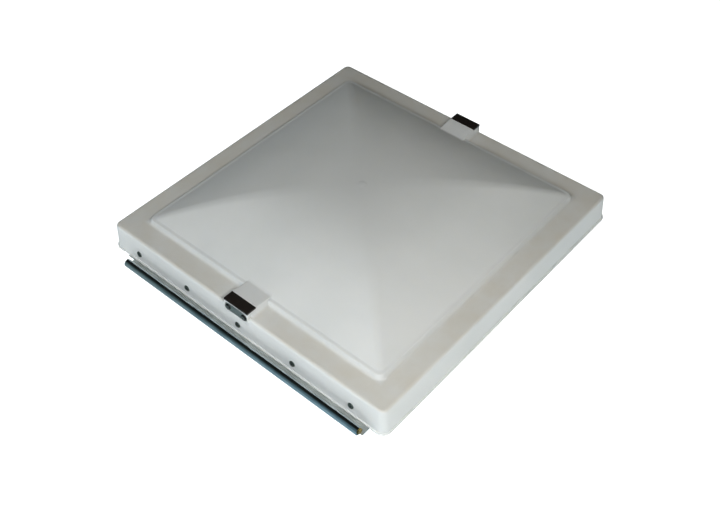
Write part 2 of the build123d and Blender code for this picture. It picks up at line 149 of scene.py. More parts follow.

# %% [markdown]
# ## The rings of the outside
# The rings are listed from the crown outwards, as a half width and a height each. A formula gives
# most of them. The few that shape a crest or a lip are given one by one, because a moulded edge is
# only two or three millimetres wide and needs its own close rings.

# %% The profile of the outside
def outside_profile():
    """The outside as (half width, height) from the crown to the bottom of the lip."""
    gate = [(1.5, 0.5), (3.0, 0.42), (3.9, 0.3), (4.7, 0.16), (5.4, 0.05), (6.4, 0.0)]
    rings = [(half, dome_z(half) + rise) for half, rise in gate]
    dome = [8, 11, 15, *range(20, 156, 7), *range(158, 166, 2), 166, 167]
    rings += [(half, dome_z(half)) for half in dome]
    step_crest = [(169.2, 39.0), (170.0, 38.8), (170.6, 38.3), (171.1, 37.5)]
    step_toe = [(172.3, 35.3), (172.9, 34.55), (173.6, 34.12), (STEP_FOOT, RIM_Z)]
    rings += step_crest + step_toe
    rings += [(half, RIM_Z) for half in np.arange(176.2, RIM_FLAT_END, 1.3)]
    for turn in range(0, 86, 12):
        angle = math.radians(turn)
        out, down = RIM_EDGE_R * math.sin(angle), RIM_EDGE_R * (1 - math.cos(angle))
        rings.append((RIM_FLAT_END + out, RIM_Z - down))
    rings += [(skirt_half(z), z) for z in (28.0, 24.0, 18.0, 12.0, 7.0, 4.6, 3.7)]
    lip_top = [(201.35, 3.25), (201.8, 3.04), (202.5, 2.9), (202.9, 2.5)]
    lip_edge = [(LIP, 1.9), (LIP, 0.6), (202.8, 0.2), (202.3, 0.0)]
    return rings + lip_top + lip_edge


print("rings outside:", len(outside_profile()))

# %% [markdown]
# ## The rings of the inside
# Thickening the outside with a modifier would pinch at the ridges and fill the bosses. A second
# stack of rings, one wall further in, stays clean and costs little.

# %% The profile of the inside
def inside_profile():
    """The inside as (half width, height) from under the crown to the bottom of the skirt."""
    shrink = (DOME_HALF - WALL) / DOME_HALF
    dome = [5, 9, 14, *range(20, 156, 9), *range(158, 166, 2), 167]
    rings = [(half * shrink, dome_z(half) - WALL) for half in dome]
    step = [(167.2, 36.4), (168.0, 35.8), (170.2, 32.2), (171.0, 31.6), (172.2, RIM_UNDER)]
    flat = (174.5, 177.0, 180.0, 183.0, 185.0, 185.4, 187.4, 190.0, 194.0)
    rings += step + [(half, RIM_UNDER) for half in flat]
    rings += [(195.6, 31.3), (196.4, 30.4)]
    return rings + [(skirt_half(z) - WALL, z) for z in (28.0, 20.0, 12.0, 7.0, 3.0, 1.0, 0.0)]


print("rings inside:", len(inside_profile()))

# %% [markdown]
# ## Lifting the two bosses out of the rings
# At the middle of the hinge side and of the front, the moulding rises in a boss that holds the
# end of the lift rail. A boss is only a taller place in the same skin, so it needs no new
# surface: where a ring crosses it, its points are lifted to the boss's own height. The sides of
# the boss sweep out onto the rim in a hollow curve. Points are packed closely there, so the curve
# has something to bend.

# %% The boss's height over the rim
BOSS_START = 158.0
CAP_EDGE = 187.5
CAP_THICKNESS = 2.2
BOSS_HALF = 17.4
BOSS_LOW_Z = 39.2
FLANK_END = 195.2
BOSS_FOOT = 5.0
FLANK_SWEEP = 2.6
BOSS_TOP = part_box("rear_boss_cap")[1].z / MM
SEAT_Z = BOSS_TOP - CAP_THICKNESS


def boss_top(depth):
    """Height of the boss's flat top, depth mm from the lid's middle."""
    share = min(max((depth - BOSS_START) / (CAP_EDGE - BOSS_START), 0.0), 1.0)
    return BOSS_LOW_Z + (BOSS_TOP - BOSS_LOW_Z) * share


def boss_z(x, depth):
    """Height of the boss's outside, or 0 where there is none."""
    if not BOSS_START <= depth < FLANK_END:
        return 0.0
    top = SEAT_Z if depth >= CAP_EDGE else boss_top(depth)
    out = (abs(x) - BOSS_HALF) / BOSS_FOOT
    if out <= -0.08:
        return top
    if out <= 0:
        return top - 0.25
    if out >= 1.0:
        return 0.0
    return RIM_Z + (top - 0.5 - RIM_Z) * (1 - out) ** FLANK_SWEEP


for x in (0.0, BOSS_HALF + 1, BOSS_HALF + 3):
    print("boss", x, "mm from its middle:", round(boss_z(x, 180.0), 2), "mm high")

# %% [markdown]
# ## The hollow in a boss
# A solid lump of plastic would sink as it cooled, so a boss is hollow underneath, and that is also
# the way the rail passes. The inside rings are lifted there just as the outside ones are.

# %% The boss's hollow
HOLLOW_HALF = 14.6
HOLLOW_END = 185.2


def boss_hollow_z(x, depth):
    """Height of the hollow inside the boss, or 0 where there is none."""
    if abs(x) <= HOLLOW_HALF and BOSS_START <= depth <= HOLLOW_END:
        return boss_top(depth) - WALL
    return 0.0


print("hollow", 2 * HOLLOW_HALF, "mm wide, its roof at", round(boss_hollow_z(0.0, 180.0), 1), "mm")

# %% [markdown]
# ## Points of a ring
# A ring is walked once round: along the hinge side, round a corner, along the right side and so
# on. All rings have the same number of points, so each ring joins to the next with plain
# four-sided faces. Near the crown a ring is smaller than the boss is wide, so its points are
# squeezed together to fit.

# %% Places along a side
NEAR = 24.5
NEAR_MARKS = [0, 3, 6, 9, 12, 14.4, 15.1, 16.4, 17.0, 17.4, 17.65, 17.95, 18.4]
NEAR_MARKS += [19.0, 19.8, 20.8, 21.8, 22.8, NEAR]
FAR_MARKS = [28, 36, *range(50, 141, 15), 150, 158, 163]
FAR_MARKS += [167, 171, 175, 179, 183, 185.8, 186.1, 189]


def side_places(straight):
    """Distances from the middle of one side, for a side that is straight for this many mm."""
    packed = min(NEAR, straight * 0.55)
    spread = (straight - packed) / (SKIRT_ARC_AT - NEAR)
    places = [mark / NEAR * packed for mark in NEAR_MARKS]
    places += [packed + (mark - NEAR) * spread for mark in FAR_MARKS]
    return [-place for place in reversed(places[1:])] + places


print("places along a side:", len(side_places(100.0)))

# %% [markdown]
# ## Turning a side into a ring
# One side and one corner are worked out, and then turned by a quarter three times. Only the
# hinge side and the front carry a boss, so only their points ask for a lift.

# %% Walk round a ring
ARC_STEPS = 8
QUARTER_TURNS = ((1, 0), (0, 1), (-1, 0), (0, -1))
BOSS_SIDES = (0, 2)


def ring_points(half, z, lift):
    """Points of one ring, from the middle of the lid, in mm."""
    radius = corner_radius(half)
    straight = half - radius
    side = [(x, -half) for x in side_places(straight)]
    for step in range(ARC_STEPS + 1):
        angle = math.radians(-90 + 90 * step / ARC_STEPS)
        side.append((straight + radius * math.cos(angle), -straight + radius * math.sin(angle)))
    points = []
    for turn, (c, s) in enumerate(QUARTER_TURNS):
        for x, y in side:
            lifted = turn in BOSS_SIDES and y == -half
            height = max(z, lift(x, -y)) if lifted else z
            points.append((x * c - y * s, x * s + y * c, height))
    return points


print("points in a ring:", len(ring_points(100.0, 60.0, boss_z)))

# %% [markdown]
# ## From points to a mesh
# Blender makes a mesh from a list of points and a list of faces, each face being the numbers of
# its points. Two helpers cover every piece here: one turns such lists into an object, smooth
# except at sharp edges, and one writes the faces of the band between two rings.

# %% Mesh helpers
def mesh_object(name, points, faces, crease_at=32.0):
    """A mesh object from points in mm, shaded smooth up to an angle in degrees."""
    mesh = bpy.data.meshes.new(name)
    mesh.from_pydata([Vector(p) * MM for p in points], [], faces)
    mesh.validate()
    mesh.update()
    mesh.polygons.foreach_set("use_smooth", [True] * len(mesh.polygons))
    mesh.set_sharp_from_angle(angle=math.radians(crease_at))
    made = bpy.data.objects.new(name, mesh)
    bpy.context.scene.collection.objects.link(made)
    return made


def join_rings(first, second, count):
    """Four-sided faces between two rings of count points that start at these numbers."""
    faces = []
    for i in range(count):
        j = (i + 1) % count
        faces.append((first + i, second + i, second + j, first + j))
    return faces


print("a band of three faces:", join_rings(0, 3, 3))

# %% [markdown]
# ## Building the shell
# The rings of the outside and of the inside are joined at the bottom of the lip, and each stack
# is closed with one point at the crown, so the result is one watertight skin with a real wall.
# Along the hinge the lip stops 2 mm short of the roof, because the hinge's leaves pass under it.

# %% Join the rings
RELIEF_HALF = 186.0
RELIEF_START = 198.0
RELIEF_Z = 2.0


def relieve(x, y, z):
    """A point of the shell, lifted if it lies where the hinge's leaves pass."""
    over_hinge = y < -RELIEF_START and abs(x) < RELIEF_HALF and z < RELIEF_Z
    return (x, y, RELIEF_Z if over_hinge else z)


def moulded_shell():
    """Points and faces of the lid's skin, about the middle of the lid."""
    outside = [ring_points(half, z, boss_z) for half, z in outside_profile()]
    inside = [ring_points(half, z, boss_hollow_z) for half, z in inside_profile()]
    stack = outside + inside[::-1]
    count = len(stack[0])
    points = [(0.0, 0.0, CROWN_Z + GATE_HEIGHT)]
    for ring in stack:
        points += ring
    points.append((0.0, 0.0, CROWN_Z - WALL))
    faces = [(0, 1 + i, 1 + (i + 1) % count) for i in range(count)]
    for level in range(len(stack) - 1):
        faces += join_rings(1 + level * count, 1 + (level + 1) * count, count)
    last = 1 + (len(stack) - 1) * count
    apex = len(points) - 1
    faces += [(apex, last + (i + 1) % count, last + i) for i in range(count)]
    return [relieve(*point) for point in points], faces


shell_points, shell_faces = moulded_shell()
print("shell:", len(shell_points), "points and", len(shell_faces), "faces")

# %% [markdown]
# ## The boss's end
# Past the skirt the boss ends in a block with a slot-shaped mouth, where the rail's end plate
# sits. Cutting the slot with a boolean would leave long thin faces that catch the light badly.
# Here the slot and the block's outline are two loops with the same number of points, so the face
# between them is an even band.

# %% Loops for the block and its mouth
MOUTH_HALF = 16.2
MOUTH_R = 6.2
LOOP = 64


def slot_loop(half, radius, count=LOOP):
    """Points (x, z) round a slot with round ends, evenly spaced."""
    straight = 2 * (half - radius)
    arc = math.pi * radius
    total = 2 * straight + 2 * arc
    points = []
    for i in range(count):
        along = total * i / count
        if along < straight:
            points.append((-straight / 2 + along, -radius))
        elif along < straight + arc:
            angle = (along - straight) / radius - math.pi / 2
            points.append((straight / 2 + radius * math.cos(angle), radius * math.sin(angle)))
        elif along < 2 * straight + arc:
            points.append((straight / 2 - (along - straight - arc), radius))
        else:
            angle = (along - 2 * straight - arc) / radius + math.pi / 2
            points.append((-straight / 2 + radius * math.cos(angle), radius * math.sin(angle)))
    return points


def box_loop(inner, half_x, low, high):
    """The points of a loop pushed out onto a rectangle, with one of them on each corner."""
    points = []
    for x, z in inner:
        up = high if z > 0 else -low
        reach = min(half_x / max(abs(x), 1e-6), up / max(abs(z), 1e-6))
        points.append((x * reach, z * reach))
    for cx, cz in ((-half_x, low), (half_x, low), (half_x, high), (-half_x, high)):
        nearest = min(range(len(points)), key=lambda i: math.dist(points[i], (cx, cz)))
        points[nearest] = (cx, cz)
    return points


print("slot loop:", len(slot_loop(MOUTH_HALF, MOUTH_R)), "points")

# %% [markdown]
# ## The block from its loops
# Four loops make the block: the outline at the back, the outline at the face, the slot at the
# face, and the slot again at the mouth's floor. Each joins to the next, and a small bevel rounds
# the edges as the mould does.

# %% The boss's end block
MOUTH_Z = 33.4
MOUTH_DEPTH = 1.6
FACE = 200.2
BLOCK_BACK = 193.0
BLOCK_BOTTOM = 26.0


def boss_end(name, turn):
    """The end block of a boss with its mouth: turn is 1 at the hinge and -1 at the front."""
    slot = slot_loop(MOUTH_HALF, MOUTH_R)
    outline = box_loop(slot, BOSS_HALF, BLOCK_BOTTOM - MOUTH_Z, SEAT_Z - MOUTH_Z)
    stack = [(outline, BLOCK_BACK), (outline, FACE), (slot, FACE), (slot, FACE - MOUTH_DEPTH)]
    points = []
    for loop, depth in stack:
        points += [(turn * x, turn * -depth, MOUTH_Z + z) for x, z in loop]
    faces = [tuple(range(LOOP))[::-1]]
    for level in range(len(stack) - 1):
        faces += join_rings(LOOP * level, LOOP * (level + 1), LOOP)
    faces.append(tuple(range(LOOP * 3, LOOP * 4)))
    made = mesh_object(name, points, [face[::-1] for face in faces])
    bevel = made.modifiers.new("mould radius", "BEVEL")
    bevel.width = 0.5 * MM
    bevel.segments = 3
    bevel.limit_method = "ANGLE"
    bevel.angle_limit = math.radians(40)
    return made


boss_ends = [boss_end("boss end", turn) for turn in (1, -1)]
print("boss ends:", [len(end.data.polygons) for end in boss_ends], "faces before the bevel")

# %% [markdown]
# ## Simple solids
# Two more shapes are needed inside: the thick blocks behind the mouths, and the post under the
# crown that the rail is screwed to. A lathe turns a profile about an axis, which is how a round
# part is drawn, and a box with a bevel is enough for a rib that nobody sees closely.

# %% Lathe and rounded block
def lathe(name, profile, segments=48):
    """A turned piece from (radius, height) points, about the Z axis."""
    points = []
    for radius, z in profile:
        for i in range(segments):
            angle = 2 * math.pi * i / segments
            points.append((radius * math.cos(angle), radius * math.sin(angle), z))
    faces = [tuple(range(segments))[::-1]]
    for level in range(len(profile) - 1):
        start = level * segments
        faces += [face[::-1] for face in join_rings(start, start + segments, segments)]
    faces.append(tuple(range(segments * (len(profile) - 1), segments * len(profile))))
    return mesh_object(name, points, faces)


def rounded_block(name, low, high, radius):
    """A box between two corners, with its edges rounded by a bevel."""
    xs, ys, zs = zip(low, high)
    points = [(xs[i], ys[j], zs[k]) for i in (0, 1) for j in (0, 1) for k in (0, 1)]
    faces = [(0, 1, 3, 2), (4, 6, 7, 5), (0, 4, 5, 1), (2, 3, 7, 6), (0, 2, 6, 4), (1, 5, 7, 3)]
    made = mesh_object(name, points, faces)
    bevel = made.modifiers.new("rounding", "BEVEL")
    bevel.width = radius * MM
    bevel.segments = 3
    return made


POST_R = 5.0
rail_low, rail_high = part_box("lift_rail")
post_profile = [(POST_R, rail_high.z / MM), (POST_R, 64.0), (5.8, 68.5), (8.0, 71.0)]
post = lathe("post", post_profile)
print("post:", len(post.data.polygons), "faces")

# %% [markdown]
# ## One object for the moulding
# The skin, the two boss ends, the thick blocks behind them and the post under the crown are one
# moulding on the real lid, so they become one object here. They are set at the lid's place,
# ride on the lid, and stand for the frame's plain shell.

# %% Assemble the moulding
RIB_HALF = 17.3
RIB_START = 187.6
RIB_BOTTOM, RIB_TOP = 26.1, 40.7


def apply_and_join(name, parts):
    """Bake each part's modifiers and join them all into one object."""
    points, faces = [], []
    graph = bpy.context.evaluated_depsgraph_get()
    for part in parts:
        baked = bpy.data.meshes.new_from_object(part.evaluated_get(graph))
        start = len(points)
        points += [tuple(v.co / MM) for v in baked.vertices]
        faces += [tuple(start + i for i in p.vertices) for p in baked.polygons]
        bpy.data.meshes.remove(baked)
        bpy.data.objects.remove(part)
    return mesh_object(name, points, faces)


parts = [mesh_object("skin", shell_points, shell_faces), post]
for turn, end in zip((1, -1), boss_ends):
    near, far = sorted((turn * -RIB_START, turn * -(FACE - MOUTH_DEPTH)))
    low, high = (-RIB_HALF, near, RIB_BOTTOM), (RIB_HALF, far, RIB_TOP)
    parts += [end, rounded_block("boss back", low, high, 0.6)]
moulding = apply_and_join("lid_moulding", parts)
moulding.location = (LID_MIDDLE.x, LID_MIDDLE.y, 0)
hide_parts("lid_shell")
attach(moulding, "lid")
print("moulding:", len(moulding.data.polygons), "faces")

# %% [markdown]
# ## Foam tape
# Closed-cell foam tape is cut from a roll and stuck under the rim, so it has soft edges, ends cut
# square by hand and a skin of tiny cells. Each strip is a box divided along its length, with its
# free lower face sagging a little and its sides bulging where it was pressed on. The two strips
# that cross the lift rail are notched for it, so their top drops for the width of the rail.

# %% Places along a tape
NOTCH_HALF = (rail_high.x - rail_low.x) / 2 / MM + 0.3
NOTCH_Z = rail_low.z / MM - 0.3


def tape_places(length, notch):
    """Places along a tape with the height of its top there, as a share of its thickness."""
    even = [(at, 0.5) for at in np.linspace(-length / 2, length / 2, int(length / 4) + 1)]
    if notch is None:
        return even
    before = [place for place in even if place[0] < -NOTCH_HALF - 1]
    after = [place for place in even if place[0] > NOTCH_HALF + 1]
    dip = [(-NOTCH_HALF, 0.5), (-NOTCH_HALF, notch), (NOTCH_HALF, notch), (NOTCH_HALF, 0.5)]
    return before + dip + after


print("notch", round(2 * NOTCH_HALF, 1), "mm wide, its floor at z", round(NOTCH_Z, 1))

# %% [markdown]
# ## Making a tape
# Each tape takes its place and size from the frame's own strip. At every place along it the same
# six points go round the section, and two slow waves along its length vary how much the section
# bulges and sags, because foam pressed on by hand is never quite even.

# %% Foam tapes
def foam_tape(name):
    """A strip of foam tape in the place of a frame node."""
    low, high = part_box(name)
    size = (high - low) / MM
    middle = (low + high) / 2 / MM
    along_x = size.x > size.y
    length, width = (size.x, size.y) if along_x else (size.y, size.x)
    places = tape_places(length, (NOTCH_Z - middle.z) / size.z if along_x else None)
    points, faces = [], []
    for at, top in places:
        wave = math.sin(at * 0.11) * 0.5 + math.sin(at * 0.047 + 1.0) * 0.5
        lanes = [(-0.5, top), (-0.5, -0.3), (-0.44, -0.5), (0.44, -0.5), (0.5, -0.3), (0.5, top)]
        for across, up in lanes:
            squeeze = 1 - 0.012 * (1 + wave)
            rise = 0.12 * (1 + wave) if up < -0.25 else 0.0
            side = across * width * squeeze
            point = (at, side) if along_x else (side, at)
            points.append((middle.x + point[0], middle.y + point[1], middle.z + up * size.z + rise))
    count = len(lanes)
    steps = len(places) - 1
    for i in range(steps):
        faces += join_rings(i * count, (i + 1) * count, count)
    faces.append(tuple(range(count)))
    faces.append(tuple(range(steps * count, (steps + 1) * count))[::-1])
    if not along_x:
        faces = [face[::-1] for face in faces]
    made = mesh_object(name.replace("strip", "tape"), points, faces, crease_at=50)
    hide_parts(name)
    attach(made, "lid")
    return made


tapes = [foam_tape(f"{side}_foam_strip") for side in ("rear", "front", "left", "right")]
print("foam tapes:", [tape.name for tape in tapes])

# %% [markdown]
# ## Materials: colour
# A paint shop writes a colour as sRGB hex, which is spaced for the eye. Light has to be added up
# in linear numbers, so one function turns the first into the second, and every colour below goes
# through it.

# %% Colour helper
def linear(hex_colour):
    """A hex sRGB colour as linear red, green, blue and alpha."""
    channels = [int(hex_colour[i:i + 2], 16) / 255 for i in (1, 3, 5)]
    return [c / 12.92 if c <= 0.04045 else ((c + 0.055) / 1.055) ** 2.4 for c in channels] + [1.0]


print("mid grey #808080 in linear:", [round(c, 3) for c in linear("#808080")])

# %% [markdown]
# ## Materials: nodes
# A material is a graph of nodes. One function adds a node with its settings and its inputs. An
# input may be a value, or another node's output, which makes the link, and a colour ramp's stops
# are given as places with hex colours.

# %% Node helpers
def add(tree, kind, inputs=(), stops=(), **settings):
    """Add a node, set its properties and colour stops, and set or link its inputs."""
    node = tree.nodes.new(kind)
    for key, value in settings.items():
        setattr(node, key, value)
    for i, (place, colour) in enumerate(stops):
        if i >= len(node.color_ramp.elements):
            node.color_ramp.elements.new(place)
        node.color_ramp.elements[i].position = place
        node.color_ramp.elements[i].color = linear(colour)
    for key, value in dict(inputs).items():
        socket = node.inputs[key]
        if isinstance(value, bpy.types.NodeSocket):
            tree.links.new(value, socket)
        else:
            socket.default_value = value
    return node


def material(name):
    """An empty material, with its tree and its principled shader."""
    made = bpy.data.materials.new(name)
    made.use_nodes = True
    tree = made.node_tree
    tree.nodes.clear()
    shader = add(tree, "ShaderNodeBsdfPrincipled")
    add(tree, "ShaderNodeOutputMaterial", {"Surface": shader.outputs["BSDF"]})
    return made, tree, shader


def wear(obj, finish):
    """Give an object this material in place of what it had."""
    obj.data.materials.clear()
    obj.data.materials.append(finish)


print("helpers:", [helper.__name__ for helper in (add, material, wear)])

# %% [markdown]
# ## Milky moulded polypropylene
# The lid is injection moulded in a milky polypropylene. The plastic lets a little light in before
# it comes back, which softens the edges, and the mould was lightly blasted, which leaves a satin
# grain. A pattern's scale is worked out from the size of one grain: a noise of scale 1 has cells
# about a metre wide, so cells of n millimetres need a scale of 1000 / n.

# %% The lid's plastic: base colour and where each part of it is
def per_metre(cell_mm):
    """Texture scale that gives cells of this size in millimetres."""
    return 1000.0 / cell_mm


plastic, tree, shader = material("milky_moulded_polypropylene")  # soft and satin, lit from within
where = add(tree, "ShaderNodeTexCoord").outputs["Object"]
cloud = add(tree, "ShaderNodeTexNoise", {"Vector": where, "Scale": per_metre(110), "Detail": 4.0})
shades = [(0.3, "#D8DCDC"), (0.7, "#E1E4E4")]
base = add(tree, "ShaderNodeValToRGB", {"Fac": cloud.outputs["Fac"]}, shades).outputs["Color"]
parted = add(tree, "ShaderNodeSeparateXYZ", {"Vector": where})
wide = add(tree, "ShaderNodeMath", {0: parted.outputs["X"]}, operation="ABSOLUTE")
deep = add(tree, "ShaderNodeMath", {0: parted.outputs["Y"]}, operation="ABSOLUTE")
reach = add(tree, "ShaderNodeMath", {0: wide.outputs[0], 1: deep.outputs[0]}, operation="MAXIMUM")
print("plastic so far:", len(tree.nodes), "nodes; clouds of 110 mm, scale", round(per_metre(110), 1))

# %% [markdown]
# ## Painted crown shade and weathering
# Two colours are mixed into the plastic. The crown is painted a little greyer than the foot of the
# dome: this is painted shade, standing for the crown looking darker where the thin plastic lies over
# the dark hollow under the dome. And dust washes off the dome onto the flat rim, where it dries in a
# faint warm film. Both are colours mixed in by masks, and the masks come from where a point is: its
# reach from the middle, and its height. The film stays off the bosses' tops, which stand clear of the
# rim.

# %% The lid's plastic: painted crown shade, dusty rim, grain
# painted shade: the crown is mixed towards a greyer colour, strongest at the middle and gone 110 mm
# out, standing for the darker crown over the dark hollow
crown = {0: reach.outputs[0], 1: 0.01, 2: 0.11, 3: 0.45, 4: 0.0}
painted_crown_shade = add(tree, "ShaderNodeMapRange", crown)
crown_shade_mix = {0: painted_crown_shade.outputs[0], 6: base, 7: linear("#C3C6C6")}
crown_with_shade = add(tree, "ShaderNodeMix", crown_shade_mix, data_type="RGBA")
above = add(tree, "ShaderNodeMapRange", {0: parted.outputs["Z"], 1: 0.0322, 2: 0.0338, 3: 0.0, 4: 1.0})
below = add(tree, "ShaderNodeMapRange", {0: parted.outputs["Z"], 1: 0.0344, 2: 0.0362, 3: 1.0, 4: 0.0})
outer = add(tree, "ShaderNodeMapRange", {0: reach.outputs[0], 1: 0.170, 2: 0.176, 3: 0.0, 4: 1.0})
layer = add(tree, "ShaderNodeMath", {0: above.outputs[0], 1: below.outputs[0]}, operation="MULTIPLY")
flat = add(tree, "ShaderNodeMath", {0: layer.outputs[0], 1: outer.outputs[0]}, operation="MULTIPLY")
streak = add(tree, "ShaderNodeTexNoise", {"Vector": where, "Scale": per_metre(28), "Detail": 6.0})
film = add(tree, "ShaderNodeMath", {0: flat.outputs[0], 1: streak.outputs["Fac"]}, operation="MULTIPLY")
dusty_mix = {0: film.outputs[0], 6: crown_with_shade.outputs[2], 7: linear("#D0CCC0")}
dusty = add(tree, "ShaderNodeMix", dusty_mix, data_type="RGBA")
grain = add(tree, "ShaderNodeTexNoise", {"Vector": where, "Scale": per_metre(0.6), "Detail": 2.0})
peel = add(tree, "ShaderNodeTexNoise", {"Vector": where, "Scale": per_metre(4.5), "Detail": 3.0})
heights = {0: peel.outputs["Fac"], 1: 1.5, 2: grain.outputs["Fac"]}
relief = add(tree, "ShaderNodeMath", heights, operation="MULTIPLY_ADD")
bump = add(tree, "ShaderNodeBump", {"Strength": 0.12, "Distance": 0.00025, "Height": relief.outputs[0]})
gloss = add(tree, "ShaderNodeMapRange", {0: streak.outputs["Fac"], 1: 0.3, 2: 0.7, 3: 0.46, 4: 0.58})
shader.inputs["IOR"].default_value = 1.49
shader.inputs["Subsurface Weight"].default_value = 0.25
shader.inputs["Subsurface Radius"].default_value = (1.0, 0.95, 0.85)
shader.inputs["Subsurface Scale"].default_value = 0.004
tree.links.new(dusty.outputs[2], shader.inputs["Base Color"])
tree.links.new(gloss.outputs[0], shader.inputs["Roughness"])
tree.links.new(bump.outputs["Normal"], shader.inputs["Normal"])
wear(moulding, plastic)
print("plastic:", len(tree.nodes), "nodes; grain cells of 0.6 mm, orange peel of 4.5 mm")

# %% [markdown]
# ## Black nylon caps
# The caps are moulded in black nylon. Nylon is slightly waxy, so its shine is broad, and the sun
# turns its top a very dark brown-grey with fine scuffs. The scuffs are blots of about 2.4 mm, and
# the moulded texture on top of them has grains of about half a millimetre.

# %% Black nylon
nylon_black, tree, shader = material("sunned_black_nylon")  # nearly black, waxy, a little brown
where = add(tree, "ShaderNodeTexCoord").outputs["Object"]
scuff = add(tree, "ShaderNodeTexNoise", {"Vector": where, "Scale": per_metre(2.4), "Detail": 5.0})
shades = [(0.35, "#171412"), (0.62, "#231D1A"), (0.8, "#37302B")]
colour = add(tree, "ShaderNodeValToRGB", {"Fac": scuff.outputs["Fac"]}, shades).outputs["Color"]
fine = add(tree, "ShaderNodeTexNoise", {"Vector": where, "Scale": per_metre(0.5), "Detail": 2.0})
bump = add(tree, "ShaderNodeBump", {"Strength": 0.2, "Distance": 0.0002, "Height": fine.outputs["Fac"]})
rough = add(tree, "ShaderNodeMapRange", {0: scuff.outputs["Fac"], 1: 0.3, 2: 0.7, 3: 0.42, 4: 0.62})
shader.inputs["IOR"].default_value = 1.53
tree.links.new(colour, shader.inputs["Base Color"])
tree.links.new(rough.outputs[0], shader.inputs["Roughness"])
tree.links.new(bump.outputs["Normal"], shader.inputs["Normal"])
for end in ("rear", "front"):
    wear(nodes[f"{end}_boss_cap"], nylon_black)
print("black nylon: scuffs of 2.4 mm at scale", round(per_metre(2.4)))

# %% [markdown]
# ## Metals
# The metal pieces differ in how they were made. The hinge is strip steel with a bright zinc
# plate, rolled lengthwise, so its faint streaks run along the tube. The rail is an aluminium
# extrusion with die lines along it. The rivets are plain aluminium gone dull, and the screws and
# plates have a thin dull zinc. One recipe serves them all: a metal whose roughness and colour are
# broken up by noise that is stretched along the working direction. A rolling streak is about
# 1.1 mm wide. Real ones are finer, but a finer pattern would only turn to glitter at this size.

# %% Worked metal
def worked_metal(name, dark, light, rough, stretch, streak_mm, relief=0.15):
    """A metal with streaks: two colours, a roughness range, and the noise's stretch and size."""
    made, tree, shader = material(name)
    where = add(tree, "ShaderNodeTexCoord").outputs["Object"]
    pulled = add(tree, "ShaderNodeMapping", {"Vector": where, "Scale": stretch}).outputs[0]
    drawn_out = {"Vector": pulled, "Scale": per_metre(streak_mm), "Detail": 4.0}
    lines = add(tree, "ShaderNodeTexNoise", drawn_out)
    blot = add(tree, "ShaderNodeTexNoise", {"Vector": where, "Scale": per_metre(16), "Detail": 3.0})
    factors = {0: lines.outputs["Fac"], 1: blot.outputs["Fac"]}
    both = add(tree, "ShaderNodeMath", factors, operation="MULTIPLY")
    shades = [(0.15, dark), (0.38, light)]
    colour = add(tree, "ShaderNodeValToRGB", {"Fac": both.outputs[0]}, shades).outputs["Color"]
    limits = {0: lines.outputs["Fac"], 1: 0.3, 2: 0.7, 3: rough[0], 4: rough[1]}
    span = add(tree, "ShaderNodeMapRange", limits)
    worn = {"Strength": relief, "Distance": 0.0001, "Height": lines.outputs["Fac"]}
    bump = add(tree, "ShaderNodeBump", worn)
    shader.inputs["Metallic"].default_value = 1.0
    tree.links.new(colour, shader.inputs["Base Color"])
    tree.links.new(span.outputs[0], shader.inputs["Roughness"])
    tree.links.new(bump.outputs["Normal"], shader.inputs["Normal"])
    return made


print("a streak of 1.1 mm needs a scale of", round(per_metre(1.1)))

# %% [markdown]
# ## The metals themselves
# Each call below is one finish: a darker and a lighter colour, the range of its roughness, the
# way its streaks run, and how wide they are. Squeezing the noise along an axis to a few hundredths
# stretches each streak to thirty times its width.

# %% Seven finishes
ALONG_X, ALONG_Y, EVEN = (0.04, 1, 1), (1, 0.03, 1), (1, 1, 1)
# bright and bluish, with a sharp reflection broken by lengthwise streaks
bright_zinc = worked_metal("bright_zinc_steel", "#A3AFB4", "#CBD4D7", (0.10, 0.20), ALONG_X, 1.1)
# the same plate on the flat leaf, where no roller has burnished it: paler and broader
satin_zinc = worked_metal("satin_zinc_steel", "#C2C9C8", "#E0E5E3", (0.42, 0.56), ALONG_X, 1.4)
# flat grey, which reads as a stamped plate and not as a mirror
dull_zinc = worked_metal("dull_zinc_steel", "#9A9F9C", "#C0C5C1", (0.42, 0.58), EVEN, 1.4)
# straw yellow, so the pin's end shows against the grey tube
yellow_zinc = worked_metal("yellow_zinc_pin", "#8A7440", "#C0A662", (0.22, 0.4), EVEN, 1.1)
# dark and soft: a rivet head that has stood in the weather
dull_rivet = worked_metal("weathered_rivet", "#4E5653", "#7C8581", (0.4, 0.6), EVEN, 0.9)
# nearly black, rough where the mandrel snapped
snapped = worked_metal("snapped_mandrel", "#2A2A28", "#54504A", (0.5, 0.75), EVEN, 0.6)
# pale and clean, with die lines along the rail
drawn = worked_metal("drawn_aluminium", "#A9ACAC", "#C9CBCB", (0.25, 0.42), ALONG_Y, 0.8)
metals = (bright_zinc, satin_zinc, dull_zinc, yellow_zinc, dull_rivet, snapped, drawn)
print("metals:", [metal.name for metal in metals])

# %% [markdown]
# ## Screw heads in the mouths
# Each end plate is held by two screws. Round each head a black ring is painted: this is painted
# shade, standing for the shadow in the gap round the head. The driver has rubbed the middle of each
# head bright, so a head reads as a pale spot in a dark circle. The two finishes need no extra parts:
# the distance from the screw's own axis mixes one into the other.

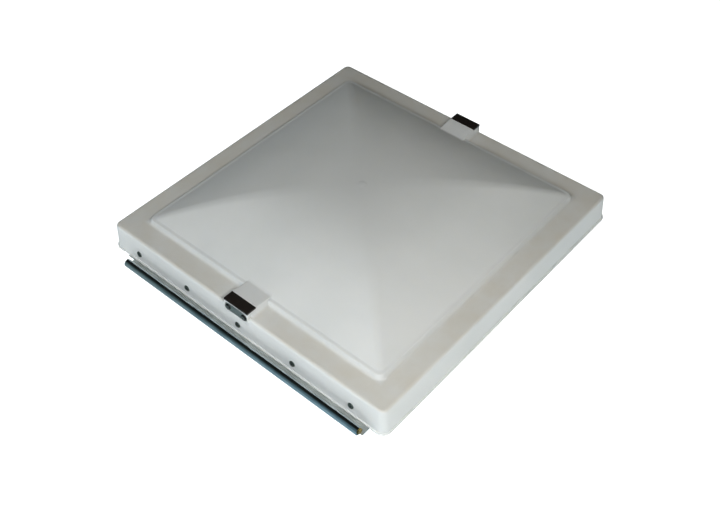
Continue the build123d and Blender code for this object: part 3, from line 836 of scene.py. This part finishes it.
# %% Screw steel with a ring of painted shade
screw_steel, tree, shader = material("screw_steel_painted_shade_ring")  # pale worn middle, black ring of painted shade round it
where = add(tree, "ShaderNodeTexCoord").outputs["Object"]
parted = add(tree, "ShaderNodeSeparateXYZ", {"Vector": where})
screw_low, screw_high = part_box("rear_end_plate_screws")
head_r = (screw_high.z - screw_low.z) / 2
axis_x = (screw_high.x - screw_low.x) / 2 - head_r
axis_z = (screw_high.z + screw_low.z) / 2
wide = add(tree, "ShaderNodeMath", {0: parted.outputs["X"]}, operation="ABSOLUTE")
aside = add(tree, "ShaderNodeMath", {0: wide.outputs[0], 1: axis_x}, operation="SUBTRACT")
up = add(tree, "ShaderNodeMath", {0: parted.outputs["Z"], 1: axis_z}, operation="SUBTRACT")
from_axis = add(tree, "ShaderNodeCombineXYZ", {0: aside.outputs[0], 1: up.outputs[0]})
radius = add(tree, "ShaderNodeVectorMath", {0: from_axis.outputs[0]}, operation="LENGTH")
# painted shade: past about 0.6 of the head's radius the colour turns black and non-metallic, standing
# for the shadow in the gap round the head
limits = {0: radius.outputs["Value"], 1: head_r * 0.58, 2: head_r * 0.74, 3: 0.0, 4: 1.0}
shadow_ring = add(tree, "ShaderNodeMapRange", limits)
scratch = add(tree, "ShaderNodeTexNoise", {"Vector": where, "Scale": per_metre(0.8), "Detail": 4.0})
shades = [(0.3, "#8E9490"), (0.7, "#B4B9B5")]
worn = add(tree, "ShaderNodeValToRGB", {"Fac": scratch.outputs["Fac"]}, shades).outputs["Color"]
shadow_ring_mix = {0: shadow_ring.outputs[0], 6: worn, 7: linear("#121312")}
head_with_shadow_ring = add(tree, "ShaderNodeMix", shadow_ring_mix, data_type="RGBA")
bare = add(tree, "ShaderNodeMath", {0: 1.0, 1: shadow_ring.outputs[0]}, operation="SUBTRACT")
shader.inputs["Roughness"].default_value = 0.4
tree.links.new(head_with_shadow_ring.outputs[2], shader.inputs["Base Color"])
tree.links.new(bare.outputs[0], shader.inputs["Metallic"])
print("screw heads:", round(head_r / MM, 2), "mm radius,", round(axis_x / MM, 1), "mm off the middle")

# %% [markdown]
# ## Which piece wears which metal
# The frame's metal nodes keep their own shapes, which are exact already, and only change their
# finish. A dictionary keeps the pairs readable.

# %% Give each metal piece its finish
finishes = {
    "base_hinge_leaf": bright_zinc,
    "lid_hinge_leaf": satin_zinc,
    "hinge_pin": yellow_zinc,
    "hinge_rivets": dull_rivet,
    "rivet_mandrels": snapped,
    "lift_rail": drawn,
    "rail_centre_screw": dull_zinc,
}
for end in ("rear", "front"):
    finishes[f"{end}_rail_end_plate"] = dull_zinc
    finishes[f"{end}_end_plate_screws"] = screw_steel
for node, finish in finishes.items():
    wear(nodes[node], finish)
print("metal nodes:", len(finishes))

# %% [markdown]
# ## Natural nylon
# The slider is moulded in natural nylon, an ivory colour that lets light in, and its running
# faces are polished by the rail. It has flow marks of about 6 mm.

# %% The slider
ivory, tree, shader = material("natural_nylon")  # ivory, softly lit from within
where = add(tree, "ShaderNodeTexCoord").outputs["Object"]
mottle = add(tree, "ShaderNodeTexNoise", {"Vector": where, "Scale": per_metre(6), "Detail": 4.0})
shades = [(0.3, "#CFC6AC"), (0.7, "#E2DBC6")]
colour = add(tree, "ShaderNodeValToRGB", {"Fac": mottle.outputs["Fac"]}, shades).outputs["Color"]
soft = {"Strength": 0.1, "Distance": 0.0002, "Height": mottle.outputs["Fac"]}
bump = add(tree, "ShaderNodeBump", soft)
shader.inputs["Roughness"].default_value = 0.42
shader.inputs["IOR"].default_value = 1.53
shader.inputs["Subsurface Weight"].default_value = 0.2
shader.inputs["Subsurface Scale"].default_value = 0.002
tree.links.new(colour, shader.inputs["Base Color"])
tree.links.new(bump.outputs["Normal"], shader.inputs["Normal"])
wear(nodes["rail_slider"], ivory)
print("natural nylon:", len(tree.nodes), "nodes")

# %% [markdown]
# ## Closed-cell foam
# The foam is black closed-cell tape: its cut skin shows open cells of about 0.7 mm, each a small
# cup. The middle of each cell is painted darker than its rim, as painted shade in the pit, and a bump
# gives the pits their shape, so together they swallow the light.

# %% The foam
foam, tree, shader = material("closed_cell_foam")  # matt black, pitted, with painted shade in each pit
where = add(tree, "ShaderNodeTexCoord").outputs["Object"]
cells = add(tree, "ShaderNodeTexVoronoi", {"Vector": where, "Scale": per_metre(0.7)})
# painted shade: each cell is darkest at its middle and lighter towards its rim
shades = [(0.0, "#101113"), (0.5, "#2B2D30"), (0.9, "#3A3C3F")]
colour = add(tree, "ShaderNodeValToRGB", {"Fac": cells.outputs["Distance"]}, shades).outputs["Color"]
cups = {"Strength": 0.8, "Distance": 0.0004, "Height": cells.outputs["Distance"]}
bump = add(tree, "ShaderNodeBump", cups)
shader.inputs["Roughness"].default_value = 0.9
tree.links.new(colour, shader.inputs["Base Color"])
tree.links.new(bump.outputs["Normal"], shader.inputs["Normal"])
for tape in tapes:
    wear(tape, foam)
print("foam: cells of 0.7 mm on", len(tapes), "tapes")

# %% [markdown]
# ## Floor
# The lid lies on a plain white sweep that glows slightly, like the base of a product light table:
# it lifts the skirts from below and leaves only a faint shadow. A light table is exposed to clean
# white, and its glow can be set apart from what it looks like: the camera is shown pure white,
# while the lid is lit by less. What the polished metal mirrors is set apart too. A studio
# lays grey and blue cards where a tube would mirror the table, to draw its shape, and here the
# sweep looks like those cards to mirror rays: grey on the left, and bluer towards the right.

# %% The sweep
floor_mesh = bpy.data.meshes.new("floor")
REACH = 4.0
floor_z = cad_low.z - 0.0002
corners = [(-REACH, -REACH), (REACH, -REACH), (REACH, REACH), (-REACH, REACH)]
floor_mesh.from_pydata([(x, y, floor_z) for x, y in corners], [], [(0, 1, 2, 3)])
floor = bpy.data.objects.new("floor", floor_mesh)
bpy.context.scene.collection.objects.link(floor)
floor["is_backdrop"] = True
print("floor: a square of", 2 * REACH, "m at z", round(floor_z, 4))

# %% [markdown]
# ## What each kind of ray sees
# A light path node says what kind of ray has arrived. Two mix shaders use it: mirror rays are
# given the cards, camera rays the sweep with extra light on top, and all others the plain sweep.

# %% The sweep's three looks
sweep, tree, shader = material("white_sweep")  # matt white, glowing enough to lift the skirts
shader.inputs["Base Color"].default_value = linear("#E8E8E6")
shader.inputs["Roughness"].default_value = 0.85
shader.inputs["Emission Color"].default_value = linear("#F2FBFF")
shader.inputs["Emission Strength"].default_value = 0.55
output = next(node for node in tree.nodes if node.type == "OUTPUT_MATERIAL")
seen_by = add(tree, "ShaderNodeLightPath")
where = add(tree, "ShaderNodeTexCoord").outputs["Object"]
parted = add(tree, "ShaderNodeSeparateXYZ", {"Vector": where})
across = {0: parted.outputs["X"], 1: -0.2, 2: 0.2, 3: 0.0, 4: 1.0}
rightward = add(tree, "ShaderNodeMapRange", across)
card_mix = {0: rightward.outputs[0], 6: linear("#8F9FA2"), 7: linear("#A4C3D0")}
cards = add(tree, "ShaderNodeMix", card_mix, data_type="RGBA")
mirror = add(tree, "ShaderNodeEmission", {"Color": cards.outputs[2], "Strength": 1.0})
glossy = {0: seen_by.outputs["Is Glossy Ray"], 1: shader.outputs[0], 2: mirror.outputs[0]}
mirrored = add(tree, "ShaderNodeMixShader", glossy)
bright = add(tree, "ShaderNodeEmission", {"Color": linear("#FFFFFF"), "Strength": 0.62})
lifted = add(tree, "ShaderNodeAddShader", {0: shader.outputs[0], 1: bright.outputs[0]})
direct = {0: seen_by.outputs["Is Camera Ray"], 1: mirrored.outputs[0], 2: lifted.outputs[0]}
seen = add(tree, "ShaderNodeMixShader", direct)
tree.links.new(seen.outputs[0], output.inputs["Surface"])
wear(floor, sweep)
print("sweep:", len(tree.nodes), "nodes")

# %% [markdown]
# ## A card for the tube
# A polished tube shows everything round it as stripes. Where it faces the front it would mirror
# an empty dark room, so a tall card stands there, as it would in a studio: dull teal, brighter
# near the floor and bluer on the right. It shows only in mirror-like surfaces.

# %% The card
CARD_HIGH, CARD_HALF, CARD_Y = 2.0, 3.0, -1.25
card_mesh = bpy.data.meshes.new("card")
left_edge, right_edge = -CARD_HALF, CARD_HALF
outline = [(left_edge, 0), (right_edge, 0), (right_edge, CARD_HIGH), (left_edge, CARD_HIGH)]
card_mesh.from_pydata([(x, CARD_Y, z) for x, z in outline], [], [(0, 1, 2, 3)])
card = bpy.data.objects.new("card", card_mesh)
bpy.context.scene.collection.objects.link(card)
card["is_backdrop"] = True
card.visible_camera = card.visible_diffuse = card.visible_shadow = False
card_look, tree, shader = material("teal_card")  # a dull glow that only metal picks up
where = add(tree, "ShaderNodeTexCoord").outputs["Object"]
parted = add(tree, "ShaderNodeSeparateXYZ", {"Vector": where})
across = {0: parted.outputs["X"], 1: -0.95, 2: -0.5, 3: 0.0, 4: 1.0}
rightward = add(tree, "ShaderNodeMapRange", across)
card_mix = {0: rightward.outputs[0], 6: linear("#6E8284"), 7: linear("#6F8D99")}
teal = add(tree, "ShaderNodeMix", card_mix, data_type="RGBA")
fading = {0: parted.outputs["Z"], 1: 0.0, 2: CARD_HIGH, 3: 1.0, 4: 0.2}
fade = add(tree, "ShaderNodeMapRange", fading)
shader.inputs["Base Color"].default_value = linear("#000000")
shader.inputs["Specular IOR Level"].default_value = 0.0
tree.links.new(teal.outputs[2], shader.inputs["Emission Color"])
tree.links.new(fade.outputs[0], shader.inputs["Emission Strength"])
wear(card, card_look)
print("card:", CARD_HIGH, "m tall, at y", CARD_Y)

# %% [markdown]
# ## Lights
# Three soft boxes light the lid. A large one on the left and one on the right each brighten the
# faces turned to them, so the near faces are light and the far ones go grey, with soft ridges
# between them. A small low one in front fills the hinge side. It would draw a hard white line
# along the tube, so it is flagged off from mirror rays, as a studio hides a fill light from
# chrome with a card, and so is the left one. The room is nearly dark, which leaves the dark core
# in the tube.

# %% Soft boxes and room
def soft_box(name, place, size, watts, colour):
    """A square area light at a place, pointed at the middle of the lid."""
    data = bpy.data.lights.new(name, "AREA")
    data.size = size
    data.energy = watts
    data.color = linear(colour)[:3]
    made = bpy.data.objects.new(name, data)
    made.location = place
    aim = Vector((LID_MIDDLE.x, LID_MIDDLE.y, 0.03)) - Vector(place)
    made.rotation_euler = aim.to_track_quat("-Z", "Y").to_euler()
    bpy.context.scene.collection.objects.link(made)
    return made


left = soft_box("left box", (-0.60, -0.90, 0.85), 0.50, 5.2, "#F9FBFB")
right = soft_box("right box", (0.60, -0.15, 0.70), 0.30, 4.3, "#FFFBF4")
fill = soft_box("low fill", (0.25, -0.55, 0.45), 0.30, 1.6, "#F2F8FF")
left.visible_glossy = fill.visible_glossy = False
world = bpy.data.worlds.new("dark room")
world.use_nodes = True
world.node_tree.nodes["Background"].inputs["Color"].default_value = linear("#C8D0C8")
world.node_tree.nodes["Background"].inputs["Strength"].default_value = 0.02
bpy.context.scene.world = world
bpy.context.scene.view_settings.view_transform = "Standard"
bpy.context.scene.view_settings.look = "None"
print("lights:", [(box.name, box.data.energy) for box in (left, right, fill)])

# %% [markdown]
# ## Camera
# The camera stands off the corner between the hinge side and the right side and looks down at
# about 47 degrees, with a normal lens. Its axes are worked out from those angles: back is the way
# it faces away from, and rightward and upward are level until a small roll is added.

# %% Camera
AZIMUTH, ELEVATION, ROLL = (math.radians(angle) for angle in (41.712, 46.666, -1.011))
camera_data = bpy.data.cameras.new("camera")
camera_data.sensor_width = 36.0
camera_data.lens = 48.89
camera = bpy.data.objects.new("camera", camera_data)
along = math.cos(ELEVATION)
back = Vector((math.sin(AZIMUTH) * along, -math.cos(AZIMUTH) * along, math.sin(ELEVATION)))
level_right = (-back).cross(Vector((0, 0, 1))).normalized()
level_up = level_right.cross(-back)
rightward = level_right * math.cos(ROLL) + level_up * math.sin(ROLL)
upward = level_up * math.cos(ROLL) - level_right * math.sin(ROLL)
pose = Matrix((rightward, upward, back)).transposed().to_4x4()
pose.translation = Vector((0.5335, LID_MIDDLE.y - 0.6045, 0.8045))
camera.matrix_world = pose
bpy.context.scene.collection.objects.link(camera)
bpy.context.scene.camera = camera
print("camera at", [round(v, 3) for v in pose.translation], "with a lens of", camera_data.lens, "mm")

# %% [markdown]
# ## Sizes
# The looks must not change the object's size, so the box of everything visible is printed, and it
# can be compared with the frame's own box printed at the start.

# %% Sizes
low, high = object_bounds()
print("visual size in mm:", [round(v / MM, 1) for v in high - low])
